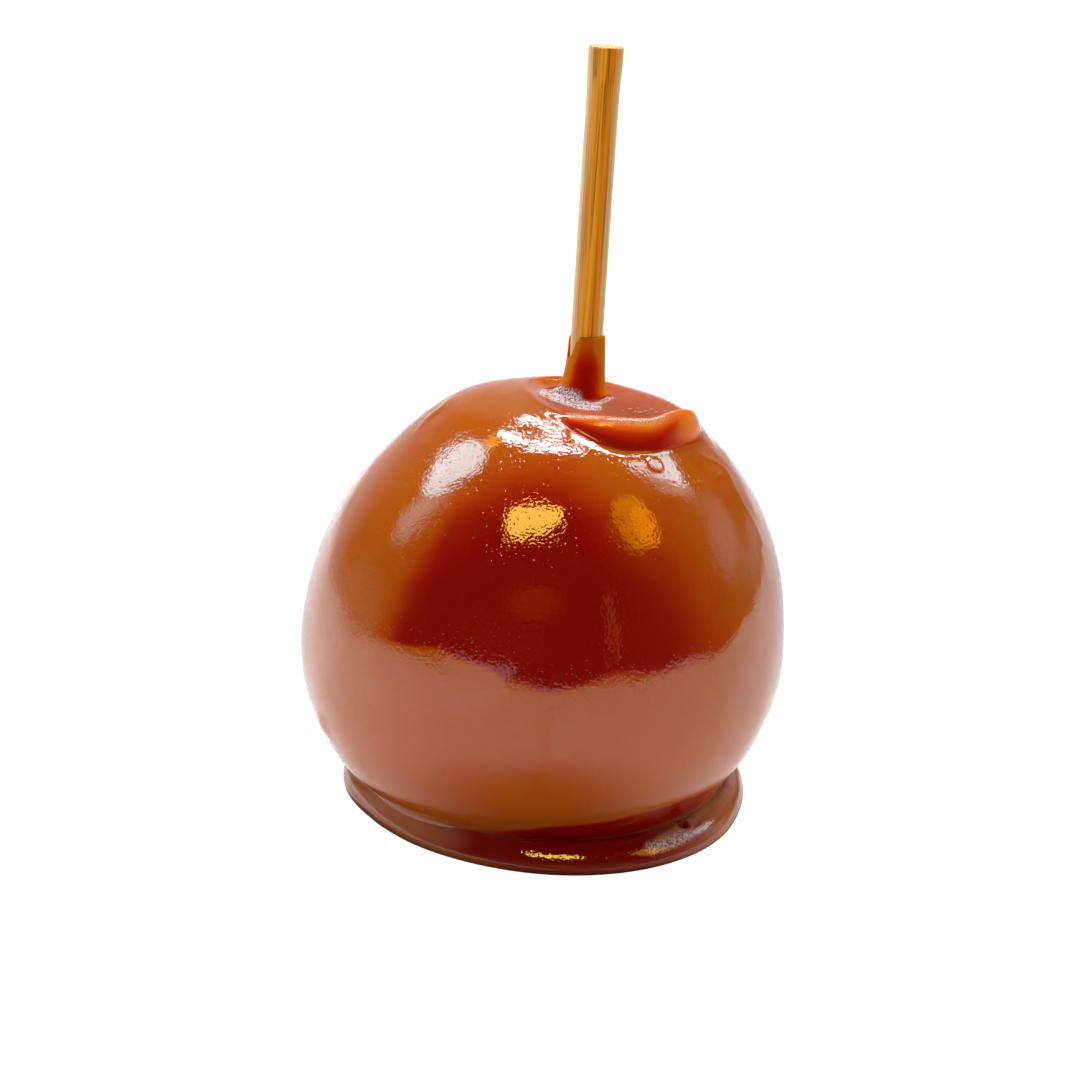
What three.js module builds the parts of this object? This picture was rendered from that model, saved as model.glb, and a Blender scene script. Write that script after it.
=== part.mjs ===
// Caramel apple: an apple under a thick coat of caramel, on a round bamboo stick.
// Units are millimetres, +Z is up, and +Y points away from the side that is shown.
// The origin is on the flat base, on the axis of the apple's widest circle.
//
// The coat is one solid. Its surface is a stack of closed loops, one for each
// feature from the flat base up to the crown, up the sleeve and down the bore.
// A smooth curve runs through the loops in every direction around the axis.
import * as THREE from 'three'

// ---------------------------------------------------------------- dimensions
const BODY_R = 43.1            // widest radius of the coated apple
const WIDEST_Z = 30.0          // height of the widest circle
const UPPER_H = 47.6           // from the widest circle to the top of the dome
const LOWER_H = 36.8           // half height of the ellipse that the lower side follows
const DOME_POWER = 2.085       // 2 is an ellipse, more is squarer in the shoulders
const BODY_X = -0.35           // the whole body's shift along X
const LEAN_1 = 2.2             // how far the dome leans to +X, evenly with height
const LEAN_2 = 0.5             // and the part of the lean that grows towards the top
const SIDE_TOP_ANGLE = 44      // where the side's loops hand over to the crown's

const FOOT_R = 36.0            // mean radius of the puddled foot
const FOOT_X = 0.8
const FOOT_Y = 1.2
const FOOT_H = 5.5             // height of the foot's rounded bead
const FOOT_H_WAVE = -0.5
const CREASE_Z = 6.2           // where the apple's side meets the bead
const FOOT_WAVES = [           // [times around, cosine part, sine part]
  [1, 0.31, -0.28],
  [2, 0.15, -1.11],
  [3, -0.89, 0.51],
]
const FOOT_DENT = 1.3          // the bead is drawn in a little at the front
const FOOT_SWELL = 0.9         // and swells at the left

const DISH_X = 11.4            // the flat dish around the stick
const DISH_Y = -3.0
const DISH_RX = 14.1
const DISH_RY = 12.5
const DISH_RAISE = 1.6         // how much the dish stays level where the dome falls
const BOWL_X = 6.0             // the hollow in the dish, round the stick
const BOWL_Y = 1.0
const BOWL_SPREAD = 9.4        // its reach to each side
const BOWL_FRONT = 14.0        // and to the front
const BOWL_BACK = 7.0
const BOWL_DEPTH = 2.1
const LIP_H = 3.25             // the fold's crest over the dome
const LIP_END_H = 0.85         // and how much taller its right end is
const LIP_W = 3.6              // from the dish's edge to the foot of the fold, in plan
const LIP_END_W = 1.3          // the same at the ends of the fold
const LOBE_H = 1.9             // the fuller left shoulder
const LOBE_X = -18.5
const LOBE_Y = 2
const LOBE_SX = 7.5
const LOBE_SY = 11

const STICK_D = 5.5
const STICK_L = 114            // four and a half inches
const STICK_TOP_Z = 135.2
const STICK_FLARE = 0.2        // the top end is crushed a little wider
const STICK_X = 6.95           // where the stick's axis crosses the crown
const STICK_Y = 1.0
const STICK_TILT = 0.058       // lean to +X, as a slope
const STICK_SIDES = 24
const CLEARANCE = 0.25         // between the stick and the bore it stands in

const CROWN_Z = WIDEST_Z + UPPER_H
const SLEEVE_TOP = 85.8        // caramel climbs the stick as a thin sleeve
const SLEEVE_NOTCH = 3.6       // its edge dips on the left
const SLEEVE_R = 3.22
const BORE_BOTTOM = 20.0

const COLUMNS = 60             // points around each loop
const ROUNDING = 0.85          // how closely the curve keeps to the loops

// ------------------------------------------------------------------- helpers
const DEG = Math.PI / 180

function ease(x, from, to) {
  const t = Math.min(1, Math.max(0, (x - from) / (to - from)))
  return t * t * t * (t * (6 * t - 15) + 10)
}

function turn(angle) {
  let a = (angle + Math.PI) % (2 * Math.PI)
  if (a < 0) a += 2 * Math.PI
  return a - Math.PI
}

// 1 at the centre angle, 0 beyond the width, in degrees
function bump(phi, centre, width) {
  const d = Math.abs(turn(phi - centre * DEG)) / (width * DEG)
  return d < 1 ? (1 - d * d) ** 2 : 0
}

// 1 from one angle to another, with soft ends, in degrees
function span(phi, from, to, softFrom, softTo) {
  const middle = (from + to) / 2
  const d = turn(phi - middle * DEG) / DEG
  const rise = ease(d, from - middle - softFrom, from - middle)
  const fall = ease(d, to - middle, to - middle + softTo)
  return rise * (1 - fall)
}

function leanAt(z) {
  const t = Math.min(1, Math.max(0, (z - WIDEST_Z) / UPPER_H))
  return BODY_X + LEAN_1 * t + LEAN_2 * t * t
}

// height of the plain dome over a point
function domeZ(x, y) {
  let z = WIDEST_Z + UPPER_H * 0.95
  for (let i = 0; i < 3; i += 1) {
    const rho = Math.min(0.9999, Math.hypot(x - leanAt(z), y) / BODY_R)
    const rest = Math.max(1e-6, 1 - rho ** DOME_POWER)
    z = WIDEST_Z + UPPER_H * rest ** (1 / DOME_POWER)
  }
  return z
}

function lobe(x, y) {
  const u = (x - LOBE_X) / LOBE_SX
  const v = (y - LOBE_Y) / LOBE_SY
  return LOBE_H * Math.exp(-(u * u + v * v) / 2)
}

function level(x) {
  return DISH_RAISE * ease(x, 10, 27)
}

// how far the dish's floor lies under the dome
function bowl(x, y) {
  const u = (x - BOWL_X) / BOWL_SPREAD
  const v = (y - BOWL_Y) / (y < BOWL_Y ? BOWL_FRONT : BOWL_BACK)
  return BOWL_DEPTH * Math.max(0, 1 - u * u - v * v)
}

// height of the lip's crest over the dish's edge, tallest at its right end
function lipHeight(phi) {
  const at = turn(phi) / DEG
  const fall = (LIP_H + LIP_END_H) * ease(at, -42, 33)
  return LIP_H * ease(at, -148, -70) + LIP_END_H * ease(at, -65, -35) - fall
}

function lipWidth(phi) {
  return LIP_END_W + (LIP_W - LIP_END_W) * span(phi, -125, -84, 50, 62)
}

function footRadius(phi) {
  let r = FOOT_R
  for (const [times, cosine, sine] of FOOT_WAVES) {
    r += cosine * Math.cos(times * phi) + sine * Math.sin(times * phi)
  }
  return r - FOOT_DENT * bump(phi, -85, 55) + FOOT_SWELL * bump(phi, 178, 26)
}

function stickAxis(z) {
  return [STICK_X + (z - CROWN_Z) * STICK_TILT, STICK_Y]
}

// ------------------------------------------------- loops of one meridian
// Each entry is [x, y, z, samples up to the next loop].

function footLoops(phi) {
  const c = Math.cos(phi)
  const s = Math.sin(phi)
  const f = footRadius(phi)
  const h = FOOT_H + FOOT_H_WAVE * Math.cos(phi - 0.3)
  const out = []
  for (const k of [0, 0.5, 0.84, 0.92]) {
    out.push([FOOT_X + f * k * c, FOOT_Y + f * k * s, 0, 1])
  }
  // in front the foot is a sloping skirt, and at the sides a rounder bead
  const skirt = bump(phi, -85, 105)
  // [bead out, bead up, skirt out, skirt up]
  const profile = [
    [-1.9, 0.0, -0.9, 0.0],
    [-0.5, 0.2, 0.0, 0.12],
    [0.0, 0.52, -0.1, 0.35],
    [-0.7, 0.88, -1.7, 0.66],
  ]
  for (const [beadOut, beadUp, skirtOut, skirtUp] of profile) {
    const r = f + beadOut + (skirtOut - beadOut) * skirt
    const z = h * (beadUp + (skirtUp - beadUp) * skirt)
    out.push([FOOT_X + r * c, FOOT_Y + r * s, z, 2])
  }
  // the crease over it is sharp in front and filled in at the left
  const side = BODY_R * Math.sqrt(1 - ((WIDEST_Z - CREASE_Z) / LOWER_H) ** 2)
  const filled = span(phi, -200, -145, 35, 35)
  const middle = f * 0.45 + FOOT_R * 0.55
  const top = middle - 2.6 - 1.4 * skirt + 0.4 * filled
  const crease = middle * 0.4 + side * 0.6 - 1.4 - 1.2 * skirt + filled
  const topZ = h * (1.03 - 0.1 * skirt) + 0.4 * filled
  const creaseZ = h * (1 - 0.04 * skirt) + 1.5 * filled
  out.push([FOOT_X * 0.7 + top * c, FOOT_Y * 0.7 + top * s, topZ, 2])
  out.push([FOOT_X * 0.4 + crease * c, FOOT_Y * 0.4 + crease * s, creaseZ, 2])
  return out
}

function sideAngles() {
  const low = -Math.asin((WIDEST_Z - CREASE_Z) / LOWER_H)
  const angles = [low + 5 * DEG]
  const first = low + 14 * DEG
  const last = SIDE_TOP_ANGLE * DEG
  for (let i = 0; i < 8; i += 1) {
    angles.push(first + ((last - first) * i) / 7)
  }
  return angles
}

function sidePoint(angle) {
  if (angle < 0) {
    return [BODY_R * Math.cos(angle), WIDEST_Z + LOWER_H * Math.sin(angle)]
  }
  const r = BODY_R * Math.cos(angle) ** (2 / DOME_POWER)
  const z = WIDEST_Z + UPPER_H * Math.sin(angle) ** (2 / DOME_POWER)
  return [r, z]
}

function sideLoops(phi) {
  return sideAngles().map((angle) => {
    const [r, z] = sidePoint(angle)
    const back = FOOT_Y * 0.35 * Math.max(0, 1 - z / 20)
    return [leanAt(z) + r * Math.cos(phi), back + r * Math.sin(phi), z, 2]
  })
}

function rimPoint(phi, out) {
  const c = Math.cos(phi)
  const s = Math.sin(phi)
  const rim = (DISH_RX * DISH_RY) / Math.hypot(DISH_RY * c, DISH_RX * s)
  return [DISH_X + (rim + out) * c, DISH_Y + (rim + out) * s]
}

function shoulderLoops(phi) {
  const [r, z] = sidePoint(SIDE_TOP_ANGLE * DEG)
  const x1 = leanAt(z) + r * Math.cos(phi)
  const y1 = r * Math.sin(phi)
  const [x2, y2] = rimPoint(phi, 7.2 - 2.6 * Math.cos(phi))
  return [0.36, 0.7, 1].map((u) => {
    const x = x1 * (1 - u) + x2 * u
    const y = y1 * (1 - u) + y2 * u
    return [x, y, domeZ(x, y) + lobe(x, y) * u, 1]
  })
}

// The dish's rim. Along the front right the caramel is folded over into a lip.
function rimLoops(phi) {
  const lip = span(phi, -80, -30, 52, 80)
  const w = lipWidth(phi)
  const h = lipHeight(phi)
  const edge = 0.2 * span(phi, 150, 215, 40, 50)
  const backDip = 0.6 * bump(phi, 50, 50)
  // [plain out, lip out, share of the lip's height, dip, soft edge, inside, level]
  const table = [
    [4.4, 1.4 * w, 0.0, 0.1, 0.0, 0.0, 0.3],
    [2.6, 0.98 * w, 0.0, 0.4, 0.1, 0.0, 0.8],
    [1.6, 0.92 * w, 0.44, 0.0, 0.3, 0.0, 1.0],
    [0.9, 0.62 * w, 0.88, 0.0, 0.5, 0.05, 1.0],
    [0.0, 0.25 * w, 1.0, 0.0, 0.3, 0.3, 1.0],
    [-1.4, -1.2, 0.5, 0.0, 0.0, 0.7, 1.0],
    [-3.0, -3.0, 0.05, 0.0, 0.0, 0.95, 1.0],
  ]
  return table.map(([plain, out, up, dip, soft, inside, share]) => {
    const [x, y] = rimPoint(phi, plain * (1 - lip) + out * lip)
    const raise = share + (1 - share) * 0.6 * (1 - lip)
    const ground = domeZ(x, y) + lobe(x, y) * (1 - inside) + level(x) * raise - bowl(x, y)
    return [x, y, ground + up * h - dip * lip + soft * edge - backDip, 2]
  })
}

function floorLoops(phi) {
  return [[0.55, 7.2], [0.92, 5.2]].map(([u, r]) => {
    const x = DISH_X * (1 - u) + STICK_X * u + r * Math.cos(phi)
    const y = DISH_Y * (1 - u) + STICK_Y * u + r * Math.sin(phi)
    return [x, y, domeZ(x, y) - bowl(x, y) + level(x), 2]
  })
}

function sleeveLoops(phi) {
  const c = Math.cos(phi)
  const s = Math.sin(phi)
  const bore = STICK_D / 2 + CLEARANCE
  const top = SLEEVE_TOP - 0.3 * s - SLEEVE_NOTCH * span(phi, -172, -160, 26, 50)
  const baseX = STICK_X + 4.4 * c
  const baseY = STICK_Y + 4.4 * s
  const base = domeZ(baseX, baseY) - bowl(baseX, baseY)
  const rings = [
    [4.4, base + 0.3, 2],
    [3.8, base + 1.7, 1],
    [SLEEVE_R + 0.25, (base + top) / 2, 1],
    [SLEEVE_R, top - 1.0, 2],
    [bore + 0.15, top + 0.1, 2],
    [bore - 0.02, top - 0.15, 1],
    [bore, CROWN_Z + 2, 1],
    [bore, CROWN_Z - 10, 1],
    [bore, BORE_BOTTOM + 12, 1],
    [bore, BORE_BOTTOM + 2, 1],
    [bore, BORE_BOTTOM + 0.5, 1],
    [bore * 0.6, BORE_BOTTOM, 1],
    [0, BORE_BOTTOM, 1],
  ]
  return rings.map(([r, z, samples]) => {
    const [x, y] = stickAxis(z)
    return [x + r * c, y + r * s, z, samples]
  })
}

// ---------------------------------------------------------- smooth surface
function meridian(phi) {
  const loops = [
    ...footLoops(phi),
    ...sideLoops(phi),
    ...shoulderLoops(phi),
    ...rimLoops(phi),
    ...floorLoops(phi),
    ...sleeveLoops(phi),
  ]
  const last = loops.length - 1
  const points = loops.map((p, i) => {
    const a = loops[Math.max(0, i - 1)]
    const b = loops[Math.min(last, i + 1)]
    if (i === 0 || i === last) return [p[0], p[1], p[2]]
    const out = [0, 1, 2].map((k) => {
      const soft = (a[k] + 4 * p[k] + b[k]) / 6
      return p[k] + ROUNDING * (p[k] - soft)
    })
    if (i < 4) out[2] = 0
    out[2] = Math.max(0, out[2])
    return out
  })
  const ends = [points[0], points[0], ...points, points[last], points[last]]
  const steps = [1, 1, ...loops.map((p) => p[3])]
  const curve = []
  for (let i = 0; i + 3 < ends.length; i += 1) {
    const n = steps[i + 1]
    for (let j = 0; j < n; j += 1) {
      curve.push(blend(ends, i, j / n))
    }
  }
  curve.push(points[last])
  return curve
}

function blend(points, i, t) {
  const w = [
    (1 - t) ** 3 / 6,
    (3 * t ** 3 - 6 * t ** 2 + 4) / 6,
    (-3 * t ** 3 + 3 * t ** 2 + 3 * t + 1) / 6,
    t ** 3 / 6,
  ]
  return [0, 1, 2].map((k) => {
    let sum = 0
    for (let j = 0; j < 4; j += 1) {
      sum += w[j] * points[i + j][k]
    }
    return sum
  })
}

// ------------------------------------------------------------------ sub-parts
function caramelCoat() {
  const columns = []
  for (let i = 0; i < COLUMNS; i += 1) {
    columns.push(meridian((i / COLUMNS) * 2 * Math.PI - Math.PI))
  }
  const rows = columns[0].length
  const positions = [...columns[0][0]]
  for (let r = 1; r < rows - 1; r += 1) {
    for (const column of columns) {
      positions.push(...column[r])
    }
  }
  positions.push(...columns[0][rows - 1])
  const end = positions.length / 3 - 1
  const at = (r, i) => 1 + (r - 1) * COLUMNS + (i % COLUMNS)
  const faces = []
  for (let i = 0; i < COLUMNS; i += 1) {
    faces.push(0, at(1, i + 1), at(1, i))
    for (let r = 1; r < rows - 2; r += 1) {
      faces.push(at(r, i), at(r, i + 1), at(r + 1, i + 1))
      faces.push(at(r, i), at(r + 1, i + 1), at(r + 1, i))
    }
    faces.push(at(rows - 2, i), at(rows - 2, i + 1), end)
  }
  const geometry = new THREE.BufferGeometry()
  geometry.setAttribute('position', new THREE.Float32BufferAttribute(positions, 3))
  geometry.setIndex(faces)
  geometry.computeVertexNormals()
  const material = new THREE.MeshStandardMaterial({ color: 0x9a3a0e, roughness: 0.18, metalness: 0 })
  const mesh = new THREE.Mesh(geometry, material)
  mesh.name = 'caramel_coat'
  return mesh
}

function bambooStick() {
  const r = STICK_D / 2
  const profile = [
    [0, 0],
    [r - 0.25, 0],
    [r, 0.3],
    [r, STICK_L - 9],
    [r + STICK_FLARE * 0.4, STICK_L - 4],
    [r + STICK_FLARE, STICK_L - 0.3],
    [r + STICK_FLARE - 0.25, STICK_L],
    [0, STICK_L],
  ]
  const points = profile.map(([x, y]) => new THREE.Vector2(x, y))
  const geometry = new THREE.LatheGeometry(points, STICK_SIDES)
  geometry.rotateX(Math.PI / 2)
  const material = new THREE.MeshStandardMaterial({ color: 0xc98a35, roughness: 0.6, metalness: 0 })
  const mesh = new THREE.Mesh(geometry, material)
  mesh.name = 'stick'
  const tilt = Math.atan(STICK_TILT)
  const low = STICK_TOP_Z - STICK_L * Math.cos(tilt)
  const [x, y] = stickAxis(low)
  mesh.rotation.y = tilt
  mesh.position.set(x, y, low)
  return mesh
}

// ------------------------------------------------------------------- assembly
const group = new THREE.Group()
group.name = 'caramel_apple'
group.add(caramelCoat())
group.add(bambooStick())

export default group
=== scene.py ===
"""Looks for the caramel apple: the coat, its bubbles and the bamboo stick, on a white table.

Shapes are worked out in millimetres in the row frame and turned into metres when a
The coat is a stack of loops, as its solid is, with a finer surface and
the small marks that the caramel took as it ran and set. Values kept on the coat's
mesh tell the caramel material where it is dark red, mostly with painted shade,
where light comes through, where it is dull, and where glints, highlights and
reflections of the table are painted on it.
"""

import math

import bpy
import numpy as np
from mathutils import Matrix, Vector


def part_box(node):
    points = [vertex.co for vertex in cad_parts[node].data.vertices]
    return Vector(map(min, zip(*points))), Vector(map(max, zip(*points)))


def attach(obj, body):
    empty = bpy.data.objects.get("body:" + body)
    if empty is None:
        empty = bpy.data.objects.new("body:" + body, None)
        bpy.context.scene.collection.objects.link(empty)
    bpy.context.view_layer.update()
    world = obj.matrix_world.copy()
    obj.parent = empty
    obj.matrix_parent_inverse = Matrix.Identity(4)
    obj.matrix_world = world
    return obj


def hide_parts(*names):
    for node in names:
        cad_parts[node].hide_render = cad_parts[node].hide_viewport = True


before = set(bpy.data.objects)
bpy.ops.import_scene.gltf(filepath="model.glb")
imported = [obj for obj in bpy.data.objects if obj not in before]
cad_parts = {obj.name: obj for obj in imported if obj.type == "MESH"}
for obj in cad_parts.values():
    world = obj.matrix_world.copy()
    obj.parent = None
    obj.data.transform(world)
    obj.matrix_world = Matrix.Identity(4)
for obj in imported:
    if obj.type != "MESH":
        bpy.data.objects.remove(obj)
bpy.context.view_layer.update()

MM = 0.001

# ------------------------------------------------------------------ sizes of the coat
BODY_R = 43.1               # radius of the widest circle
WIDEST_Z = 30.0             # height of the widest circle
UPPER_H = 47.6              # from the widest circle to the top of the dome
LOWER_H = 36.8              # half height of the ellipse that the lower side follows
DOME_POWER = 2.085          # 2 is an ellipse, and more is squarer
BODY_X = -0.35              # the body's shift along X
LEAN = (2.2, 0.5)           # lean to +X at the top: an even part, and one that grows with height
SIDE_TOP = math.radians(44)  # where the side ends, as an angle up from the widest circle
CROWN_Z = WIDEST_Z + UPPER_H
CROWN_LOW = CROWN_Z - 12    # nothing below this counts as dish or lip

FOOT_R = 36.0               # radius of the foot before its waves
FOOT_CENTRE = (0.8, 1.2)
FOOT_H = 5.5                # height of the foot's bead
FOOT_H_WAVE = -0.5          # how much that changes round the foot
FOOT_WAVES = ((1, 0.31, -0.28), (2, 0.15, -1.11), (3, -0.89, 0.51))  # times round, cosine, sine
FOOT_DENT = 1.3             # the foot is drawn in at the front
FOOT_SWELL = 0.9            # and swells at the left
CREASE_Z = 6.2              # where the side meets the foot

DISH_CENTRE = (11.4, -3.0)  # the dish round the stick
DISH_RX = 14.1
DISH_RY = 12.5
DISH_RAISE = 1.6            # how far the dish is raised at its right
BOWL_CENTRE = (6.0, 1.0)    # the hollow in the dish's floor
BOWL_SPREAD = 9.4           # its reach to each side
BOWL_FRONT = 14.0           # its reach to the front
BOWL_BACK = 7.0             # its reach to the back
BOWL_DEPTH = 2.1
LIP_H = 3.25                # height of the lip's crest
LIP_END = 0.85              # how much taller it is towards the right end
LIP_W = 3.6                 # how far out the lip spreads
LIP_END_W = 1.3             # the same at its ends
LOBE_H = 1.9                # the fuller left shoulder
LOBE_CENTRE = (-18.5, 2.0)
LOBE_SPREAD = (7.5, 11.0)

SLEEVE_TOP = 85.8           # top edge of the caramel on the stick
SLEEVE_NOTCH = 3.6          # how far that edge dips at the left
SLEEVE_R = 3.22             # radius just below that edge

COLUMNS = 320               # points round each loop
FRONT_DENSITY = 0.3         # how much closer they stand in front
ROUNDING = 0.85             # how closely the curve keeps to the loops

# ------------------------------------------------------------------ sizes of the stick
STICK_R = 2.75
STICK_L = 114.0
STICK_TOP_Z = np.array(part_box("stick")[1])[2] / MM
STICK_FLARE = 0.2           # how much wider the top end is
STICK_AT_CROWN = (6.95, 1.0)    # the stick's axis at the height of the crown
STICK_SLOPE = 0.058         # lean to +X
STICK_COLUMNS = 120
GROOVE_COUNTS = (9, 13, 17, 23, 31, 41)     # grooves round the stick, one wave each
GROOVE_DEPTH = 0.045
CRUSH_DEPTH = 0.05          # how uneven the top end is
WANDER = 0.05               # how far the stick bends from side to side


# --------------------------------------------------------------------- shape helpers
def ease(x, low, high):
    """Goes smoothly from 0 at low to 1 at high. Low may be the greater one."""
    t = np.clip((x - low) / (high - low), 0.0, 1.0)
    return t * t * t * (t * (6 * t - 15) + 10)


def turn(angle):
    """The same angle, between minus and plus half a turn."""
    return (angle + np.pi) % (2 * np.pi) - np.pi


def bump(phi, centre, width):
    """1 at the centre angle and 0 beyond the width, in degrees."""
    d = np.abs(turn(phi - np.radians(centre))) / np.radians(width)
    return np.where(d < 1, (1 - d * d) ** 2, 0.0)


def span(phi, low, high, soft_low, soft_high):
    """1 from one angle to another, with soft ends, in degrees."""
    middle = (low + high) / 2
    d = np.degrees(turn(phi - np.radians(middle)))
    rise = ease(d, low - middle - soft_low, low - middle)
    fall = ease(d, high - middle, high - middle + soft_high)
    return rise * (1 - fall)


def lean_at(z):
    t = np.clip((z - WIDEST_Z) / UPPER_H, 0.0, 1.0)
    return BODY_X + LEAN[0] * t + LEAN[1] * t * t


def dome_z(x, y):
    """Height of the plain dome over a point."""
    z = np.full_like(x, WIDEST_Z + UPPER_H * 0.95)
    for _ in range(3):
        rho = np.minimum(0.9999, np.hypot(x - lean_at(z), y) / BODY_R)
        rest = np.maximum(1e-6, 1 - rho**DOME_POWER)
        z = WIDEST_Z + UPPER_H * rest ** (1 / DOME_POWER)
    return z


def lobe(x, y):
    """How far the fuller left shoulder stands over the dome."""
    u = (x - LOBE_CENTRE[0]) / LOBE_SPREAD[0]
    v = (y - LOBE_CENTRE[1]) / LOBE_SPREAD[1]
    return LOBE_H * np.exp(-(u * u + v * v) / 2)


def level(x):
    """How far the dish and its lip are raised over the dome, more to the right."""
    return DISH_RAISE * ease(x, 10, 27)


def foot_radius(phi):
    r = FOOT_R + 0 * phi
    for times, cosine, sine in FOOT_WAVES:
        r = r + cosine * np.cos(times * phi) + sine * np.sin(times * phi)
    return r - FOOT_DENT * bump(phi, -85, 55) + FOOT_SWELL * bump(phi, 178, 26)


def dish_radius(phi):
    return DISH_RX * DISH_RY / np.hypot(DISH_RY * np.cos(phi), DISH_RX * np.sin(phi))


def left_flare(phi):
    """1 at the left of the stick, where the caramel spreads wider, and 0 at the right."""
    return bump(phi, 180, 85)


def stick_axis(z):
    """X and Y of the stick's axis at a height."""
    return STICK_AT_CROWN[0] + (z - CROWN_Z) * STICK_SLOPE, STICK_AT_CROWN[1]


# ------------------------------------------------------------------ the coat's loops
# Each loop is (x, y, z, samples up to the next loop), over all the columns at once.
def foot_loops(phi):
    c, s = np.cos(phi), np.sin(phi)
    f = foot_radius(phi)
    h = FOOT_H + FOOT_H_WAVE * np.cos(phi - 0.3)
    fx, fy = FOOT_CENTRE
    loops = []
    # the flat underside
    for k in (0.0, 0.5, 0.84, 0.92):
        loops.append((fx + f * k * c, fy + f * k * s, 0 * c, 2))
    # in front the foot is a sloping skirt, and at the sides a rounder bead
    skirt = bump(phi, -85, 105)
    # bead's way out and share of the height, then the same two for the skirt
    profile = (
        (-1.9, 0.0, -0.9, 0.0),
        (-0.5, 0.2, 0.0, 0.12),
        (0.0, 0.52, -0.1, 0.37),
        (-0.7, 0.88, -1.65, 0.71),
    )
    for out, up, skirt_out, skirt_up in profile:
        r = f + out + (skirt_out - out) * skirt
        z = h * (up + (skirt_up - up) * skirt)
        loops.append((fx + r * c, fy + r * s, z, 7))
    # the crease over it is sharp in front and filled in at the left
    side = BODY_R * math.sqrt(1 - ((WIDEST_Z - CREASE_Z) / LOWER_H) ** 2)
    filled = span(phi, -200, -145, 35, 35)
    middle = f * 0.45 + FOOT_R * 0.55
    top = middle - 2.6 - 1.3 * skirt + 0.4 * filled
    crease = middle * 0.4 + side * 0.6 - 1.4 - 1.2 * skirt + 1.0 * filled
    top_h = h * (1.03 - 0.07 * skirt) + 0.4 * filled
    crease_h = h * (1 - 0.04 * skirt) + 1.5 * filled
    loops.append((fx * 0.7 + top * c, fy * 0.7 + top * s, top_h, 7))
    loops.append((fx * 0.4 + crease * c, fy * 0.4 + crease * s, crease_h, 8))
    return loops


def side_angles():
    """Where the side's loops lie, as angles up from the widest circle."""
    low = -math.asin((WIDEST_Z - CREASE_Z) / LOWER_H)
    first = low + math.radians(14)
    return [low + math.radians(5), *np.linspace(first, SIDE_TOP, 8)]


def side_point(angle):
    """Radius and height of the side at an angle up from the widest circle."""
    if angle < 0:
        return BODY_R * math.cos(angle), WIDEST_Z + LOWER_H * math.sin(angle)
    r = BODY_R * math.cos(angle) ** (2 / DOME_POWER)
    return r, WIDEST_Z + UPPER_H * math.sin(angle) ** (2 / DOME_POWER)


def side_loops(phi):
    loops = []
    for angle in side_angles():
        r, z = side_point(angle)
        # low down, the side goes a little way with the foot
        back = FOOT_CENTRE[1] * 0.35 * max(0.0, 1 - z / 20)
        x = lean_at(z) + r * np.cos(phi)
        loops.append((x, back + r * np.sin(phi), z + 0 * phi, 12))
    return loops


def rim_point(phi, out):
    """A point some way out from the dish's edge."""
    r = dish_radius(phi) + out
    return DISH_CENTRE[0] + r * np.cos(phi), DISH_CENTRE[1] + r * np.sin(phi)


def shoulder_loops(phi):
    """From the top of the side to an outline round the dish."""
    r, z = side_point(SIDE_TOP)
    x1, y1 = lean_at(z) + r * np.cos(phi), r * np.sin(phi)
    x2, y2 = rim_point(phi, 7.2 - 2.6 * np.cos(phi))
    loops = []
    for u in (0.36, 0.7, 1.0):
        x, y = x1 * (1 - u) + x2 * u, y1 * (1 - u) + y2 * u
        loops.append((x, y, dome_z(x, y) + lobe(x, y) * u, 9))
    return loops


def lip_height(phi):
    """Height of the lip's crest over the dish's edge. It is tallest towards its right end."""
    at = np.degrees(turn(phi))
    rise = LIP_H * ease(at, -148, -70) + LIP_END * ease(at, -65, -35)
    return rise - (LIP_H + LIP_END) * ease(at, -42, 33)


def bowl(x, y):
    """How far the dish's floor lies under the dome. It is deepest in front of the stick."""
    u = (x - BOWL_CENTRE[0]) / BOWL_SPREAD
    v = (y - BOWL_CENTRE[1]) / np.where(y < BOWL_CENTRE[1], BOWL_FRONT, BOWL_BACK)
    return BOWL_DEPTH * np.maximum(0, 1 - u * u - v * v)


def lip_width(phi):
    return LIP_END_W + (LIP_W - LIP_END_W) * span(phi, -125, -84, 50, 62)


def rim_loops(phi):
    """The dish's rim. Along the front right the caramel is folded over into a lip."""
    lip = span(phi, -80, -30, 52, 80)
    w = lip_width(phi)
    h = lip_height(phi)
    raised_edge = 0.2 * span(phi, 150, 215, 40, 50)
    # way out of the plain rim, way out of the lip, share of the lip's height, dip beside
    # the lip, share of the raised edge, way in from the lobe, share of the level
    profile = (
        (4.4, 1.40 * w, 0.0, 0.1, 0.0, 0.0, 0.3),
        (2.6, 0.98 * w, 0.0, 0.40, 0.1, 0.0, 0.8),
        (1.6, 0.92 * w, 0.44, 0.0, 0.3, 0.0, 1.0),
        (0.9, 0.62 * w, 0.88, 0.0, 0.5, 0.05, 1.0),
        (0.0, 0.25 * w, 1.0, 0.0, 0.3, 0.3, 1.0),
        (-1.4, -1.2, 0.5, 0.0, 0.0, 0.7, 1.0),
        (-3.0, -3.0, 0.05, 0.0, 0.0, 0.95, 1.0),
    )
    loops = []
    flare = left_flare(phi)
    for plain, out, up, dip, edge, inside, share in profile:
        # the inner loops keep clear of the flare round the stick
        clear = plain + 1.4 * flare * ease(-plain, 0.9, 3.0)
        x, y = rim_point(phi, clear * (1 - lip) + out * lip)
        raised = share + (1 - share) * 0.6 * (1 - lip)
        z = dome_z(x, y) + lobe(x, y) * (1 - inside) + level(x) * raised - bowl(x, y)
        z = z + up * h - dip * lip + edge * raised_edge
        loops.append((x, y, z - 0.6 * bump(phi, 50, 50), 8))
    return loops


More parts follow.
